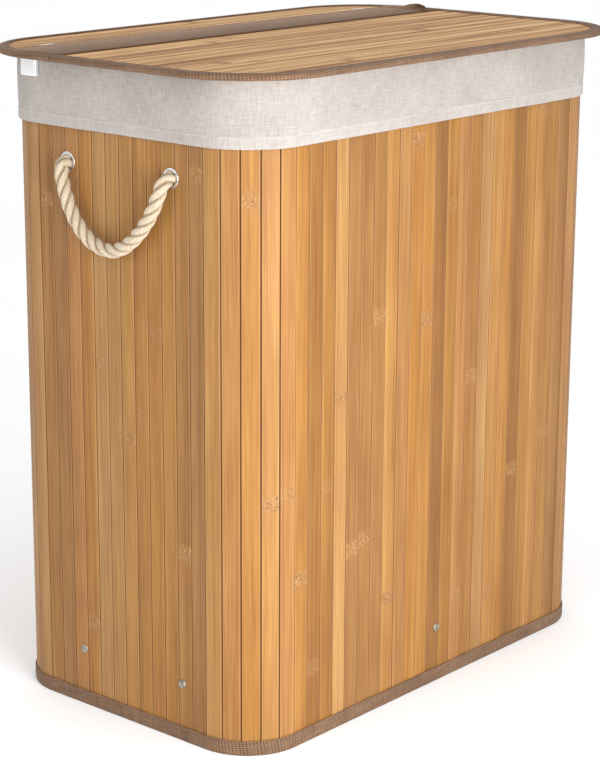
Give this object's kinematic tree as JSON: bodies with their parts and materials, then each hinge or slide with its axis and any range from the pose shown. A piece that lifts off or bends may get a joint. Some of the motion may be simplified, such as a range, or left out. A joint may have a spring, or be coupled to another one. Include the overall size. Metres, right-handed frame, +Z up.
{
  "type": "laundry hamper",
  "caption": "Upright laundry hamper of bamboo slats with rounded corners, a cloth liner folded over the rim, rope handles and a flat slatted lid with a hinged front flap.",
  "frame": {"origin": "middle of the base, on the floor", "axes": "+X along the long side towards the right, +Y from the front flap's edge towards the lid's hinged rear strip, +Z up"},
  "size_m": [0.566, 0.364, 0.6144],
  "materials": {
    "bamboo": "satin lacquered bamboo with fine upright grain",
    "lid_bamboo": "satin lacquered bamboo",
    "backing_cloth": "plain unbleached cotton backing",
    "brown_tape": "woven brown polyester tape",
    "steel_wire": "drawn steel wire",
    "webbing": "woven webbing",
    "nickel": "bright nickel plating",
    "cotton_rope": "three-strand natural cotton",
    "fibreboard": "pressed fibreboard",
    "liner_cloth": "plain-woven greige cotton and linen",
    "white_tab": "white hook-and-loop tape"
  },
  "bodies": {
    "hamper": {"front_wall_slats": "bamboo", "back_wall_slats": "bamboo", "left_wall_slats": "bamboo", "right_wall_slats": "bamboo", "front_left_corner_slats": "bamboo", "front_right_corner_slats": "bamboo", "back_left_corner_slats": "bamboo", "back_right_corner_slats": "bamboo", "wall_cloth": "backing_cloth", "base_cloth": "backing_cloth", "bottom_binding": "brown_tape", "top_binding": "brown_tape", "top_hoop_sleeve": "brown_tape", "wall_hinge_leaf": "brown_tape", "base_hinge_tape": "brown_tape", "top_hoop": "steel_wire", "base_hoop": "steel_wire", "base_hoop_loops": "webbing", "wall_rivets": "nickel", "rivet_washers": "nickel", "left_eyelets": "nickel", "right_eyelets": "nickel", "left_eyelet_washers": "nickel", "right_eyelet_washers": "nickel", "left_rope_ends": "cotton_rope", "right_rope_ends": "cotton_rope", "base_board_left": "fibreboard", "base_board_right": "fibreboard", "liner_bag": "liner_cloth", "liner_floor": "liner_cloth", "liner_cuff": "liner_cloth", "liner_hem": "liner_cloth", "left_tab_pad": "white_tab", "right_tab_pad": "white_tab"},
    "lid_rear": {"lid_rear_slats": "lid_bamboo", "lid_rear_backing": "backing_cloth", "lid_rear_binding": "brown_tape", "lid_rear_wire": "steel_wire", "lid_band_board": "fibreboard", "lid_hinge_band": "brown_tape", "lid_rear_hinge_leaf": "brown_tape", "left_lid_tab": "white_tab", "right_lid_tab": "white_tab"},
    "lid_flap": {"lid_flap_slats": "lid_bamboo", "lid_flap_backing": "backing_cloth", "lid_flap_binding": "brown_tape", "lid_flap_wire": "steel_wire", "lid_flap_hinge_leaf": "brown_tape"},
    "left_handle": {"left_rope": "cotton_rope"},
    "right_handle": {"right_rope": "cotton_rope"}
  },
  "joints": [
    {"name": "lid_rear_hinge", "type": "hinge", "parent": "hamper", "child": "lid_rear", "pos_m": [0, 0.163, 0.609], "axis": [-1, 0, 0], "range_deg": [0, 90]},
    {"name": "lid_flap_hinge", "type": "hinge", "parent": "lid_rear", "child": "lid_flap", "pos_m": [0, 0.06, 0.6146], "axis": [-1, 0, 0], "range_deg": [0, 170]},
    {"name": "left_handle_swing", "type": "hinge", "parent": "hamper", "child": "left_handle", "pos_m": [-0.2674, 0, 0.5175], "axis": [0, 1, 0], "range_deg": [0, 150]},
    {"name": "right_handle_swing", "type": "hinge", "parent": "hamper", "child": "right_handle", "pos_m": [0.2674, 0, 0.5175], "axis": [0, -1, 0], "range_deg": [0, 150]}
  ]
}
